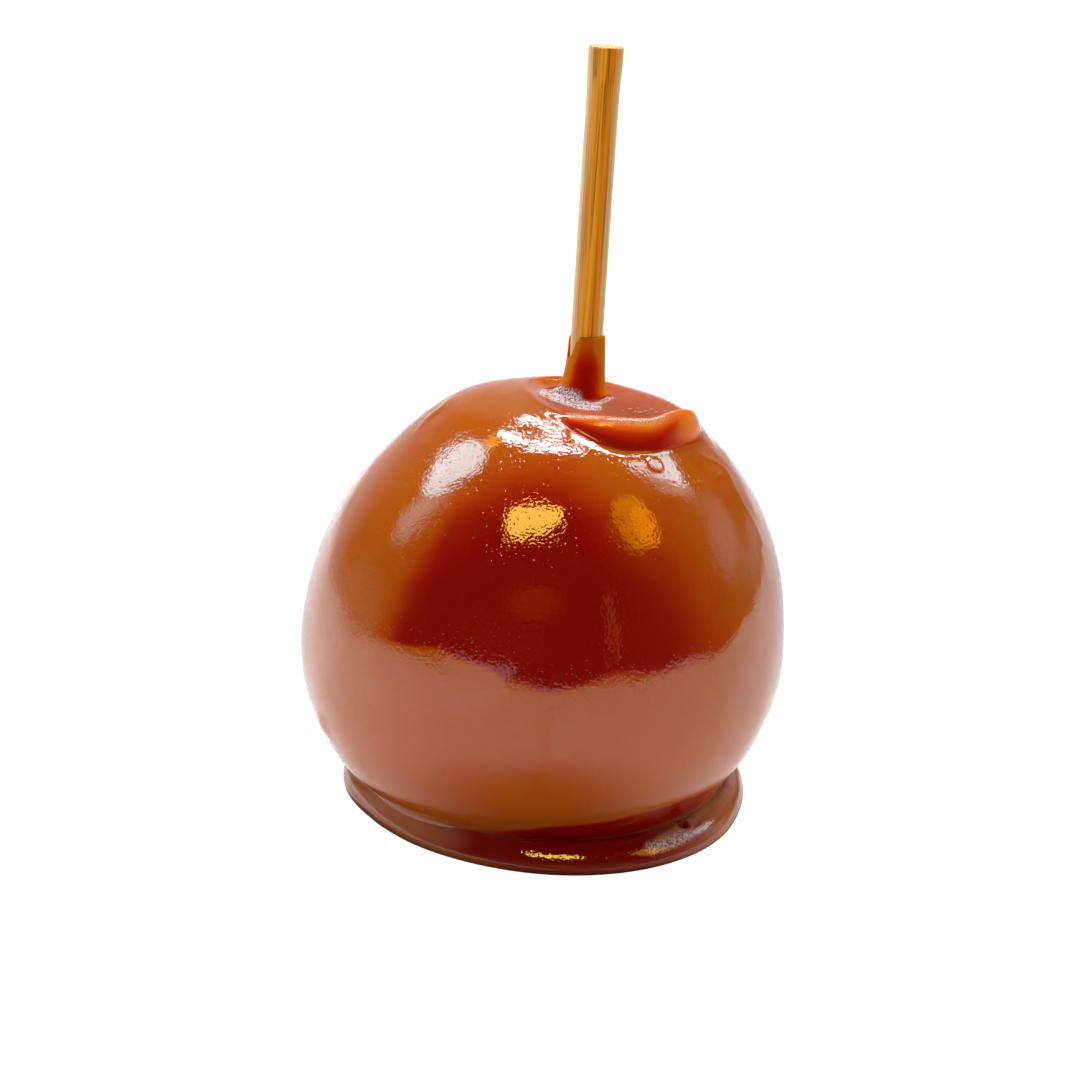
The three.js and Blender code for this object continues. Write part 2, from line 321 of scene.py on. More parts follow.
def floor_loops(phi):
    loops = []
    flare = left_flare(phi)
    for u, r in ((0.55, 7.2 + 2.0 * flare), (0.92, 5.2 + 1.4 * flare)):
        x = DISH_CENTRE[0] * (1 - u) + STICK_AT_CROWN[0] * u + r * np.cos(phi)
        y = DISH_CENTRE[1] * (1 - u) + STICK_AT_CROWN[1] * u + r * np.sin(phi)
        loops.append((x, y, dome_z(x, y) - bowl(x, y) + level(x), 6))
    return loops


def sleeve_loops(phi):
    """The caramel that climbs the stick. It ends inside the stick, so no gap shows."""
    c, s = np.cos(phi), np.sin(phi)
    ax, ay = STICK_AT_CROWN
    top = SLEEVE_TOP - 0.3 * s - SLEEVE_NOTCH * span(phi, -172, -160, 26, 50)
    flare = left_flare(phi)
    base_x, base_y = ax + (4.4 + flare) * c, ay + (4.4 + flare) * s
    base = dome_z(base_x, base_y) - bowl(base_x, base_y)
    # radius, height, samples
    rings = (
        (4.4 + flare, base + 0.3, 7),
        (3.8 + 0.4 * flare, base + 1.5, 7),
        (SLEEVE_R + 0.25, (base + top) / 2, 7),
        (SLEEVE_R, top - 1.0, 6),
        (SLEEVE_R - 0.06, top - 0.1, 6),
        (STICK_R + 0.05, top + 0.05, 4),
        (STICK_R - 0.5, top - 0.6, 2),
        (STICK_R - 0.7, CROWN_Z + 1 + 0 * c, 2),
        (STICK_R - 0.8, CROWN_Z - 8 + 0 * c, 2),
        (0.0, CROWN_Z - 9 + 0 * c, 2),
    )
    loops = []
    for r, z, samples in rings:
        x, y = stick_axis(z)
        loops.append((x + r * c, y + r * s, z, samples))
    return loops


def smooth_rows(loops):
    """A smooth curve through the loops, down every column: rows x columns x 3."""
    q = np.array([np.stack(loop[:3], -1) for loop in loops])
    soft = q.copy()
    soft[1:-1] = (q[:-2] + 4 * q[1:-1] + q[2:]) / 6
    p = q + ROUNDING * (q - soft)
    # the underside stays flat
    p[:4, :, 2] = 0
    p[..., 2] = np.maximum(p[..., 2], 0)
    ends = np.concatenate([p[:1], p[:1], p, p[-1:], p[-1:]])
    steps = [1, 1, *[loop[3] for loop in loops]]
    rows = []
    for i in range(len(ends) - 3):
        for j in range(steps[i + 1]):
            t = j / steps[i + 1]
            weights = (
                (1 - t) ** 3,
                3 * t**3 - 6 * t**2 + 4,
                -3 * t**3 + 3 * t**2 + 3 * t + 1,
                t**3,
            )
            rows.append(sum(w * ends[i + k] for k, w in enumerate(weights)) / 6)
    rows.append(p[-1])
    return np.array(rows)


def grid_normals(grid):
    across = np.roll(grid, -1, 1) - np.roll(grid, 1, 1)
    along = np.empty_like(grid)
    along[1:-1] = grid[2:] - grid[:-2]
    along[0] = grid[1] - grid[0]
    along[-1] = grid[-1] - grid[-2]
    n = np.cross(across, along)
    length = np.linalg.norm(n, axis=-1, keepdims=True)
    return n / np.maximum(length, 1e-9)


# ----------------------------------------------------------- marks in the caramel
def drift(points, wavelength, seed, waves=22):
    """Soft random relief, about -1 to 1, made of waves that run in every direction."""
    rng = np.random.default_rng(seed)
    total = np.zeros(points.shape[:-1])
    for _ in range(waves):
        direction = rng.normal(size=3)
        direction /= np.linalg.norm(direction)
        pitch = wavelength * rng.uniform(0.7, 1.5)
        total += np.cos(points @ direction * (2 * np.pi / pitch) + rng.uniform(0, 2 * np.pi))
    return total * math.sqrt(2 / waves) / 2


def near(points, place):
    return np.linalg.norm(points - np.array(place), axis=-1)


def near_path(points, path):
    """Distance to a chain of straight pieces, and how far along it, from 0 to 1."""
    best = np.full(points.shape[:-1], 1e9)
    where = np.zeros(points.shape[:-1])
    path = np.array(path, float)
    for i in range(len(path) - 1):
        a, step = path[i], path[i + 1] - path[i]
        t = np.clip((points - a) @ step / (step @ step), 0, 1)
        d = np.linalg.norm(points - a - t[..., None] * step, axis=-1)
        closer = d < best
        best = np.where(closer, d, best)
        where = np.where(closer, (i + t) / (len(path) - 1), where)
    return best, where


BLISTER = (18.5, -19.9, 68.8)   # a low round blister in front
BLISTER_R = 1.7
PIT = (24.2, -23.5, 4.9)        # a small pit in the foot
PIT_R = 1.05
LUMP = (-39.0, -17.0, 20.5)     # a soft lump low on the left
SHOULDER_FOLD = ((-22.5, -6.5, 69.6), (-19.8, -3.3, 72.5), (-17.8, -2.8, 74.0), (-15.5, 1.4, 75.3))
SIDE_CREASE = (
    (23.7, -13.0, 69.0),
    (29.5, -8.6, 66.1),
    (31.4, -7.9, 64.1),
    (33.0, -10.3, 61.1),
    (34.7, -10.9, 58.3),
    (37.5, -11.4, 52.7),
)


def disc(d, radius):
    return np.maximum(0, 1 - (d / radius) ** 2)


def ridge(d, width):
    return np.exp(-((d / width) ** 2))


def relief(points):
    """How far the surface stands out from the plain loops, in millimetres."""
    out = 0.085 * drift(points, 19, 3) + 0.022 * drift(points, 7.5, 5)
    # fine ripples where the caramel wrinkled under the dish's front edge
    front = ease(points[..., 2], 66, 69) * ease(points[..., 1], -8, -14)
    out += 0.006 * drift(points, 2.3, 7) * front
    d = near(points, BLISTER)
    out += 0.07 * (1 - ease(d, BLISTER_R - 0.45, BLISTER_R)) + 0.05 * disc(d, BLISTER_R)
    d = near(points, PIT)
    out += 0.16 * ridge(d - PIT_R - 0.15, 0.35)
    out -= 0.95 * disc(d, PIT_R)
    d, along = near_path(points, SHOULDER_FOLD)
    out += 0.34 * ridge(d, 0.9) * np.sin(np.pi * np.clip(along, 0.02, 0.98))
    d, along = near_path(points, SIDE_CREASE)
    out += 0.10 * ridge(d, 0.8) * ease(along, 0, 0.2)
    out += 0.45 * ridge(near(points, LUMP), 2.6)
    return out


# ------------------------------------------------------------------- mesh helpers
def grid_mesh(name, grid, masks):
    """A closed piece from rows of loops, whose first and last rows are single points."""
    rows, columns = grid.shape[:2]
    body = grid[1:-1].reshape(-1, 3)
    points = np.concatenate([grid[0, :1], body, grid[-1, :1]]) * MM
    end = len(points) - 1
    ring = 1 + np.arange((rows - 2) * columns).reshape(rows - 2, columns)
    beside = np.roll(ring, -1, 1)
    faces = [(0, int(b), int(a)) for a, b in zip(ring[0], beside[0])]
    quads = np.stack([ring[:-1], beside[:-1], beside[1:], ring[1:]], -1).reshape(-1, 4)
    faces += [tuple(quad) for quad in quads.tolist()]
    faces += [(int(a), int(b), end) for a, b in zip(ring[-1], beside[-1])]
    mesh = bpy.data.meshes.new(name)
    mesh.from_pydata(points.tolist(), [], faces)
    mesh.polygons.foreach_set("use_smooth", [True] * len(mesh.polygons))
    for mask, values in masks.items():
        flat = np.concatenate([values[0, :1], values[1:-1].ravel(), values[-1, :1]])
        layer = mesh.attributes.new(mask, "FLOAT", "POINT")
        layer.data.foreach_set("value", flat.astype(np.float32))
    mesh.update()
    piece = bpy.data.objects.new(name, mesh)
    bpy.context.collection.objects.link(piece)
    return piece


# ----------------------------------------------------------------- node helpers
class Nodes:
    """Short ways to add and join nodes in one tree."""

    def __init__(self, tree):
        self.tree = tree

    def add(self, kind, inputs=None, **settings):
        node = self.tree.nodes.new(kind)
        for key, value in settings.items():
            setattr(node, key, value)
        for key, value in (inputs or {}).items():
            self.put(node.inputs[key], value)
        return node

    def put(self, socket, value):
        if isinstance(value, bpy.types.NodeSocket):
            self.tree.links.new(value, socket)
        else:
            socket.default_value = value

    def math(self, operation, a, b=0.0, clamp=False):
        node = self.add("ShaderNodeMath", operation=operation, use_clamp=clamp)
        self.put(node.inputs[0], a)
        self.put(node.inputs[1], b)
        return node.outputs[0]

    def scaled(self, value, factor, plus):
        """The value times a factor, plus another value."""
        total = self.math("MULTIPLY_ADD", value, factor)
        self.put(total.node.inputs[2], plus)
        return total

    def fade(self, value, low, high, start=0.0, end=1.0, kind="SMOOTHSTEP"):
        """Goes from start to end as the value goes from low to high."""
        node = self.add("ShaderNodeMapRange", {"Value": value}, interpolation_type=kind)
        limits = {"From Min": low, "From Max": high, "To Min": start, "To Max": end}
        for socket, limit in limits.items():
            self.put(node.inputs[socket], limit)
        return node.outputs["Result"]

    def measure(self, operation, a, b=(0, 0, 0)):
        """A length, a distance or a dot product."""
        node = self.add("ShaderNodeVectorMath", {0: a, 1: b}, operation=operation)
        return node.outputs["Value"]

    def split(self, vector):
        return self.add("ShaderNodeSeparateXYZ", {0: vector}).outputs

    def attribute(self, name):
        return self.add("ShaderNodeAttribute", attribute_name=name).outputs["Fac"]

    def noise(self, place, scale, detail):
        inputs = {"Vector": place, "Scale": scale, "Detail": detail}
        return self.add("ShaderNodeTexNoise", inputs).outputs["Fac"]

    def mix(self, amount, a, b, blend="MIX"):
        node = self.add("ShaderNodeMix", data_type="RGBA", blend_type=blend)
        self.put(node.inputs["Factor"], amount)
        self.put(node.inputs["A"], a)
        self.put(node.inputs["B"], b)
        return node.outputs["Result"]

    def ramp(self, value, stops):
        node = self.add("ShaderNodeValToRGB", {"Fac": value})
        elements = node.color_ramp.elements
        while len(elements) < len(stops):
            elements.new(0.5)
        for element, (place, colour) in zip(elements, stops):
            element.position = place
            element.color = colour
        return node.outputs["Color"]


def new_material(name):
    material = bpy.data.materials.new(name)
    material.use_nodes = True
    tree = material.node_tree
    tree.nodes.clear()
    nodes = Nodes(tree)
    shader = nodes.add("ShaderNodeBsdfPrincipled")
    output = nodes.add("ShaderNodeOutputMaterial")
    tree.links.new(shader.outputs["BSDF"], output.inputs["Surface"])
    return material, nodes, shader


# ------------------------------------------------------------------- materials
BLACK = (0, 0, 0, 1)
WHITE = (1, 1, 1, 1)


def caramel_material():
    material, nodes, shader = new_material("caramel")
    coords = nodes.add("ShaderNodeTexCoord").outputs["Object"]
    deep_and_shade = nodes.attribute("deep_and_shade")
    thin = nodes.attribute("thin")
    rough = nodes.attribute("rough")
    froth_and_glint = nodes.attribute("froth_and_glint")
    pale = nodes.attribute("pale")

    # from amber caramel to the dark red of the painted shade, a little cloudy
    cloud = nodes.scaled(nodes.noise(coords, 70.0, 3.0), 0.30, -0.15)
    tone = nodes.ramp(
        nodes.math("ADD", deep_and_shade, cloud, clamp=True),
        (
            (0.0, (0.54, 0.120, 0.004, 1)),
            (0.45, (0.50, 0.054, 0.0015, 1)),
            (0.8, (0.38, 0.010, 0.0006, 1)),
            (1.0, (0.31, 0.002, 0.0004, 1)),
        ),
    )
    # light that comes through where the caramel is thin
    glow = nodes.ramp(
        thin,
        (
            (0.3, (0.60, 0.016, 0.001, 1)),
            (0.62, (0.68, 0.060, 0.0016, 1)),
            (1.0, (0.92, 0.24, 0.007, 1)),
        ),
    )
    colour = nodes.mix(nodes.math("MULTIPLY", thin, 4.0, clamp=True), tone, glow)
    # painted glints: white specks where the froth catches the light
    glint_specks = nodes.ramp(
        nodes.noise(coords, 2900.0, 1.0),
        ((0.42, (0.34, 0.12, 0.08, 1)), (0.58, (0.90, 0.80, 0.84, 1))),
    )
    # paler where the mesh says so: mostly painted highlights and painted reflections of the white
    # table
    colour = nodes.mix(pale, colour, (0.56, 0.27, 0.13, 1))
    colour = nodes.mix(froth_and_glint, colour, glint_specks)
    nodes.put(shader.inputs["Base Color"], colour)
    nodes.put(shader.inputs["Subsurface Weight"], nodes.math("SUBTRACT", 1.0, pale))
    shader.inputs["Subsurface Radius"].default_value = (1.0, 0.28, 0.08)
    shader.inputs["Subsurface Scale"].default_value = 5 * MM

    # a fine grain all over, coarser where it is dull, and some small pits
    fine = nodes.math("MULTIPLY_ADD", nodes.noise(coords, 600.0, 0.0), 1.0)
    nodes.put(fine.node.inputs[2], nodes.noise(coords, 2100.0, 0.0))
    height = nodes.math("MULTIPLY", fine, nodes.scaled(rough, 2.0, 1.0))
    grained = nodes.add(
        "ShaderNodeBump", {"Height": height, "Strength": 1.0, "Distance": 0.021 * MM}
    )
    cells = nodes.add("ShaderNodeTexVoronoi", {"Vector": coords, "Scale": 1300.0})
    dots = nodes.ramp(cells.outputs["Distance"], ((0.0, WHITE), (0.26, BLACK)))
    chance = nodes.add("ShaderNodeSeparateColor", {"Color": cells.outputs["Color"]})
    some = nodes.math("GREATER_THAN", chance.outputs["Red"], 0.5)
    pitted = nodes.add("ShaderNodeBump", {"Height": nodes.math("MULTIPLY", dots, some)})
    pitted.inputs["Strength"].default_value = 1.0
    pitted.inputs["Distance"].default_value = 0.025 * MM
    nodes.put(pitted.inputs["Normal"], grained.outputs["Normal"])
    nodes.put(shader.inputs["Normal"], pitted.outputs["Normal"])

    nodes.put(shader.inputs["Roughness"], nodes.scaled(rough, 0.25, 0.065))
    nodes.put(shader.inputs["Specular IOR Level"], nodes.scaled(rough, -0.45, 0.5))
    shader.inputs["IOR"].default_value = 1.5
    return material


def bamboo_material():
    material, nodes, shader = new_material("bamboo")
    coords = nodes.add("ShaderNodeTexCoord").outputs["Object"]
    lay = nodes.add(
        "ShaderNodeMapping", {"Vector": coords, "Rotation": (0, -math.atan(STICK_SLOPE), 0)}
    )
    along = nodes.add(
        "ShaderNodeMapping", {"Vector": lay.outputs["Vector"], "Scale": (1.0, 1.0, 0.012)}
    )
    fibres = nodes.noise(along.outputs["Vector"], 2600.0, 3.0)
    tone = nodes.ramp(
        nodes.noise(along.outputs["Vector"], 700.0, 2.0),
        (
            (0.25, (0.86, 0.20, 0.002, 1)),
            (0.5, (0.95, 0.33, 0.004, 1)),
            (0.75, (1.0, 0.51, 0.045, 1)),
        ),
    )
    streaks = nodes.ramp(
        fibres,
        ((0.36, (0.34, 0.16, 0.05, 1)), (0.46, (0.86, 0.78, 0.62, 1)), (0.60, WHITE)),
    )
    colour = nodes.mix(0.8, tone, streaks, "MULTIPLY")
    # painted light: the sides are paler than the front and the back, where light from the sides
    # and behind shines through
    facing = nodes.split(nodes.add("ShaderNodeNewGeometry").outputs["Normal"])
    turned = nodes.ramp(
        nodes.math("ABSOLUTE", facing["Y"]), ((0.40, (0.75, 0.75, 0.75, 1)), (0.9, BLACK))
    )
    colour = nodes.mix(turned, colour, (1.0, 0.80, 0.42, 1))
    # the cut end shows its pores
    end = nodes.math("GREATER_THAN", facing["Z"], 0.8)
    pores = nodes.ramp(
        nodes.noise(coords, 2400.0, 2.0),
        ((0.35, (0.45, 0.27, 0.12, 1)), (0.55, (0.80, 0.66, 0.42, 1))),
    )
    colour = nodes.mix(end, colour, pores)
    nodes.put(shader.inputs["Base Color"], colour)
    shader.inputs["Roughness"].default_value = 0.42
    shader.inputs["Specular IOR Level"].default_value = 0.15
    shader.inputs["Subsurface Weight"].default_value = 0.15
    shader.inputs["Subsurface Radius"].default_value = (1.0, 0.5, 0.2)
    shader.inputs["Subsurface Scale"].default_value = 1 * MM
    ribs = nodes.add("ShaderNodeBump", {"Height": fibres, "Strength": 0.6, "Distance": 0.05 * MM})
    nodes.put(shader.inputs["Normal"], ribs.outputs["Normal"])
    return material


# ----------------------------------------------------------------------- pieces
def coat_grid():
    t = np.arange(COLUMNS) / COLUMNS * 2 * np.pi - np.pi
    phi = t - FRONT_DENSITY * np.cos(t)
    loops = [
        *foot_loops(phi),
        *side_loops(phi),
        *shoulder_loops(phi),
        *rim_loops(phi),
        *floor_loops(phi),
        *sleeve_loops(phi),
    ]
    return smooth_rows(loops)


# paths of painted glints on the froth beside the stick and on the foot, and of a painted highlight
# along the crease over the foot
STICK_FROTH_GLINT = ((0.4, -0.9, 0), (3.2, -4.2, 0), (7.2, -7.2, 0))
STICK_FROTH_GLINT_TAIL = ((7.8, -5.4, 0), (9.8, -4.6, 0), (11.5, -1.4, 0))
FOOT_GLINT = ((18.4, -30.2, 3.7), (22.1, -28.0, 3.8), (24.6, -25.7, 4.0))
CREASE_HIGHLIGHT = ((20.2, -28.3, 4.1), (24.5, -23.8, 4.7), (30.2, -14.5, 5.1), (32.3, -8.5, 5.2))
# how far the painted shade on the front comes down, to where the table's reflection begins:
# degrees round from the front, upward slant
PAINTED_SHADE_EDGE = (
    (-50, 0.225), (-38, 0.205), (-25, 0.205), (-17, 0.203), (-12, 0.178),
    (-7, 0.132), (-3, 0.114), (0, 0.096), (12, 0.104), (20, 0.10),
    (27, 0.088), (33, 0.075), (38, 0.07), (42, 0.10), (50, 0.14),
)


def highest(*values):
    return np.maximum.reduce(values)


def body_painted_shade(normals):
    """Painted shade: 1 on the front of the body, painted dark red where it faces the dim room,
    down to a wavy edge where the table's reflection begins. The back gets a fainter, softer one.
    """
    nx, ny, nz = normals[..., 0], normals[..., 1], normals[..., 2]
    facing = np.degrees(np.arctan2(nx, np.abs(ny)))
    edge = np.interp(facing, *zip(*PAINTED_SHADE_EDGE))
    start = 0.50 - 0.12 * ease(np.abs(facing + 12), 38, 10) + 0.08 * ease(-facing, 25, 45)
    back = ease(ny, -0.05, 0.2)
    above = ease(nz, edge + 0.012 - 0.25 * back, edge + 0.042 + 0.2 * back)
    return ease(np.abs(ny), start, start + 0.49) * (0.12 + 0.88 * above) * (1 - 0.4 * back)


def foot_painted_shade(phi, z):
    """Painted shade: 1 on the front of the foot and in the shaded crease over it."""
    at = np.degrees(phi)
    front = 0.15 + 0.85 * span(phi, -112, -64, 9, 24)
    foot = front * (1 - ease(z, 4.5, 7.5)) * ease(z, 2.0, 3.0)
    band = 8.0 + 2.6 * ease(at, -115, -80) + 0.9 * ease(at, -75, -60)
    shaded = span(phi, -90, -45, 28, 20) * (1 - ease(z, band - 0.8, band + 0.8))
    return np.maximum(foot, shaded)


def foot_painted_reflection(phi, z):
    """Painted reflection of the white table: 1 on the foot away from its front."""
    front = span(phi, -110, -64, 16, 26) * (0.6 + 0.4 * ease(z, 1.5, 2.8))
    return (1 - front) * (1 - ease(z, 4.5, 7.5))


def coat_masks(grid, normals):
    """What the caramel material reads from the coat's mesh, each 0 where it has no effect.

    The dark red is mostly painted shade, thin lets light through, rough is dull, the white
    specks are painted glints on froth, and pale is mostly painted highlight and reflection.
    """
    x, y, z = grid[..., 0], grid[..., 1], grid[..., 2]
    phi = np.arctan2(y, x)
    on_crown = z > CROWN_LOW
    to_stick = np.hypot(x - STICK_AT_CROWN[0], y - STICK_AT_CROWN[1])
    sleeve = ease(to_stick, 5.0, 4.1) * ease(z, CROWN_Z - 4, CROWN_Z - 2)
    # the dish and its lip, from the angle round the dish and the way out from its edge
    px, py = x - DISH_CENTRE[0], y - DISH_CENTRE[1]
    turned = np.arctan2(py, px)
    out = np.hypot(px, py) - dish_radius(turned)
    floor = ease(out, -0.5, -2.5) * on_crown
    tall = lip_height(turned)
    wide = lip_width(turned) * ease(tall, 0.0, 1.7)
    lip = ease(tall, 0.1, 0.8) * ease(out, -1.4, -0.2) * ease(out, wide + 0.5, wide - 0.2)
    lip *= on_crown
    lip_end = ease(np.degrees(turned), -75, -20)
    up_lip = (z - dome_z(x, y) - level(x)) / np.maximum(tall, 0.5)
    # a painted highlight along the lip's crest
    crest = lip * ease(up_lip, 0.78, 1.02) * (1 - lip_end)
    # painted shade in the small pit in the foot
    pit = ease(near(grid, PIT), PIT_R + 0.35, PIT_R)

    # painted shade: dark red on the front of the body and the foot, in the crease over the foot,
    # on the sleeve, on the lip below where light comes through, and in the pit; the dish's floor
    # is darker too
    deep_and_shade = highest(body_painted_shade(normals), foot_painted_shade(phi, z), 0.95 * floor, sleeve, lip, pit)

    # light comes through the sleeve, most of all at its sides and its top edge
    edge = ease(z, CROWN_Z + 2.5, SLEEVE_TOP - 0.5) * 0.8
    edge = edge + ease(np.abs(normals[..., 0]), 0.15, 0.95)
    through_sleeve = sleeve * (0.12 + 0.80 * np.clip(edge, 0, 1))
    # and through the lip, more and more towards its crest
    through_lip = lip * np.maximum(0.12 + 0.88 * ease(up_lip, 0.1, 1.05), lip_end)
    thin = np.maximum(through_sleeve, through_lip)

    plan = np.stack([x, y, 0 * z], -1)
    to_froth_glint, _ = near_path(plan, STICK_FROTH_GLINT)
    to_tail, _ = near_path(plan, STICK_FROTH_GLINT_TAIL)
    to_foot_glint, _ = near_path(grid, FOOT_GLINT)
    to_crease, _ = near_path(grid, CREASE_HIGHLIGHT)
    # painted glints: white specks on the froth beside the stick, on the foot and along the lip's
    # crest
    beside_stick = np.maximum(ease(to_froth_glint, 3.3, 2.0), 0.8 * ease(to_tail, 0.9, 0.35))
    beside_stick *= floor * (1 - sleeve * ease(z, CROWN_Z - 0.9, CROWN_Z + 0.2))
    froth_and_glint = highest(beside_stick, 0.65 * ease(to_foot_glint, 1.9, 0.2), 0.3 * crest)
    froth_and_glint = froth_and_glint * (1 - pit)

    # the dish's floor, the lip, the sleeve and the crease are less glossy
    dull_lip = (0.3 + 0.7 * lip_end) * lip
    rough = highest(1.1 * floor, sleeve, dull_lip, 0.7 * ease(to_crease, 3.6, 1.0))

    # painted highlights and reflections: paler along the crease over the foot, on the lip's crest,
    # on the foot away from its front, at the dish's left edge and round the glint on the foot; the
    # dish's floor is paler too
    left = bump(turned, -158, 50) * ease(out, 0.2, 1.5) * ease(z, CROWN_Z - 4, CROWN_Z - 1.5)
    pale = highest(
        0.9 * ease(to_crease, 1.8, 0.3),
        0.42 * foot_painted_reflection(phi, z),
        0.3 * left,
        0.5 * ease(to_foot_glint, 2.0, 0.4),
        0.34 * floor * (1 - sleeve),
        0.8 * crest,
    )
    # the painted glints on the froth are pale too, and let no light into the caramel below them
    pale = np.maximum(pale * (1 - pit), 0.85 * froth_and_glint)
    return {"deep_and_shade": deep_and_shade, "thin": thin, "rough": rough, "froth_and_glint": froth_and_glint, "pale": pale}


def caramel_coat(caramel):
    grid = coat_grid()
    normals = grid_normals(grid)
    # the underside and what is inside the stick keep their plain shape
    outer = ease(grid[..., 2], 0.0, 1.2)
    ax, ay = stick_axis(grid[..., 2])
    outer *= ease(np.hypot(grid[..., 0] - ax, grid[..., 1] - ay), STICK_R, STICK_R + 1.2)
    grid = grid + normals * (relief(grid) * outer)[..., None]
    masks = coat_masks(grid, grid_normals(grid))
    piece = grid_mesh("coat", grid, masks)
    piece.data.materials.append(caramel)
    return piece


def stick_piece(bamboo):
    turns = np.arange(STICK_COLUMNS) / STICK_COLUMNS * 2 * np.pi
    rng = np.random.default_rng(11)
    grooves = np.zeros(STICK_COLUMNS)
    for count in GROOVE_COUNTS:
        grooves += rng.uniform(0.3, 1.0) * np.cos(count * turns + rng.uniform(0, 6.3)) / 6
    # distance from the lower end, radius
    profile = [(0.0, 0.0), (0.0, STICK_R - 0.3), (0.3, STICK_R)]
    profile += [(d, STICK_R) for d in np.linspace(2, STICK_L - 9, 60)]
    for d in np.linspace(STICK_L - 8, STICK_L - 0.35, 14):
        profile.append((d, STICK_R + STICK_FLARE * ease(d, STICK_L - 9, STICK_L - 1)))
    profile += [(STICK_L - 0.08, STICK_R + STICK_FLARE - 0.12), (STICK_L, STICK_R - 0.25)]
    profile += [(STICK_L, r) for r in (1.8, 1.0, 0.0)]
    tilt = math.atan(STICK_SLOPE)
    low = STICK_TOP_Z - STICK_L * math.cos(tilt) - STICK_R * math.sin(tilt)
    foot = np.array([*stick_axis(low), low])
    axis = np.array([math.sin(tilt), 0, math.cos(tilt)])
    side = np.array([math.cos(tilt), 0, -math.sin(tilt)])
    back = np.array([0.0, 1.0, 0.0])
    rows = []
    for d, r in profile:
        grooved = GROOVE_DEPTH * grooves * ease(np.array(r), 1.5, 2.5)
        crushed = CRUSH_DEPTH * np.cos(3 * turns + 1) * ease(np.array(d), STICK_L - 8, STICK_L)
        radius = r + (grooved + crushed if r > 1.5 else 0 * turns)
        wander = WANDER * math.sin(d / 17) * side
        ring = radius[:, None] * (np.cos(turns)[:, None] * side + np.sin(turns)[:, None] * back)
        rows.append(foot + axis * d + wander + ring)
    piece = grid_mesh("bamboo_stick", np.array(rows), {})
    piece.data.materials.append(bamboo)
    return piece


def coat_height(coat, x, y):
    """Height of the coat's top surface over a point, in millimetres."""
    _, place, _, _ = coat.ray_cast(Vector((x, y, 200)) * MM, Vector((0, 0, -1)))
    return place.z / MM


# place and radius of each bubble
BUBBLES = (
    (14.6, -7.8, 0.42), (15.5, -8.4, 0.30), (16.3, -8.6, 0.48), (17.3, -7.9, 0.33),
    (18.4, -6.4, 0.40), (19.2, -7.2, 0.28), (20.7, -5.7, 0.36), (21.3, -6.6, 0.26),
    (13.4, -8.6, 0.28), (18.1, -1.1, 0.34), (17.6, -8.8, 0.26), (16.0, -7.1, 0.24),
)
BUBBLE_FLATNESS = 0.4       # half its height, as a share of its radius


def bubbles_piece(coat, caramel):
    """Small bubbles that set in the dish's floor."""
    around, up = 16, 8
    verts, faces = [], []
    for x, y, r in BUBBLES:
        ground = coat_height(coat, x, y)
        start = len(verts)
        for i in range(up + 1):
            lift = math.pi * i / up
            for j in range(around):
                spin = 2 * math.pi * j / around
                verts.append((
                    (x + r * math.sin(lift) * math.cos(spin)) * MM,
                    (y + r * math.sin(lift) * math.sin(spin)) * MM,
                    (ground + BUBBLE_FLATNESS * r * math.cos(lift)) * MM,
                ))
        for i in range(up):
            for j in range(around):
                a = start + i * around + j
                b = start + i * around + (j + 1) % around
                faces.append((a, a + around, b + around, b))
    mesh = bpy.data.meshes.new("bubbles")
    mesh.from_pydata(verts, [], faces)
    mesh.polygons.foreach_set("use_smooth", [True] * len(mesh.polygons))
    # painted glints: each bubble is painted pale all over
    pale = mesh.attributes.new("pale", "FLOAT", "POINT")
    pale.data.foreach_set("value", [1.0] * len(verts))
    mesh.materials.append(caramel)
    piece = bpy.data.objects.new("bubbles", mesh)
    bpy.context.collection.objects.link(piece)
    return piece


# ------------------------------------------------------------- table, light, camera
TABLE_OUTLINE = (
    (-3.0, -1.30), (-0.02, -0.40), (0.055, -0.33), (0.16, -0.25), (0.22, -0.14),
    (0.21, -0.08), (0.26, 0.0), (0.34, 0.08), (0.42, 0.30), (0.60, 2.5), (-3.0, 2.5),
)
AIM = Vector((0.0, 0.0, 0.045))


def heading(azimuth, elevation=0.0):
    """A direction. Azimuth 0 is behind the apple (+Y), 90 is +X and 180 is in front."""
    a, e = math.radians(azimuth), math.radians(elevation)
    return Vector((math.sin(a) * math.cos(e), math.cos(a) * math.cos(e), math.sin(e)))


def sheet(name, corners, material, z=0.0):
    mesh = bpy.data.meshes.new(name)
    mesh.from_pydata([(x, y, z) for x, y in corners], [], [tuple(range(len(corners)))])
    mesh.materials.append(material)
    piece = bpy.data.objects.new(name, mesh)
    bpy.context.collection.objects.link(piece)
    return piece


# a painted shadow: the patch of table in front of the foot and under it, which the gloss and the
# light see dark
SHADOW_PLACE = (-0.002, -0.043, 0)
SHADOW_REACH = (5 * MM, 42 * MM)
UNDER_FOOT = (36.5 * MM, 39 * MM)
TABLE_SHADOW = (0.06, 0.06, 0.07, 1)
TABLE_BEHIND = (0.56, 0.64, 0.68, 1)
TABLE_BESIDE = (0.73, 0.79, 0.82, 1)


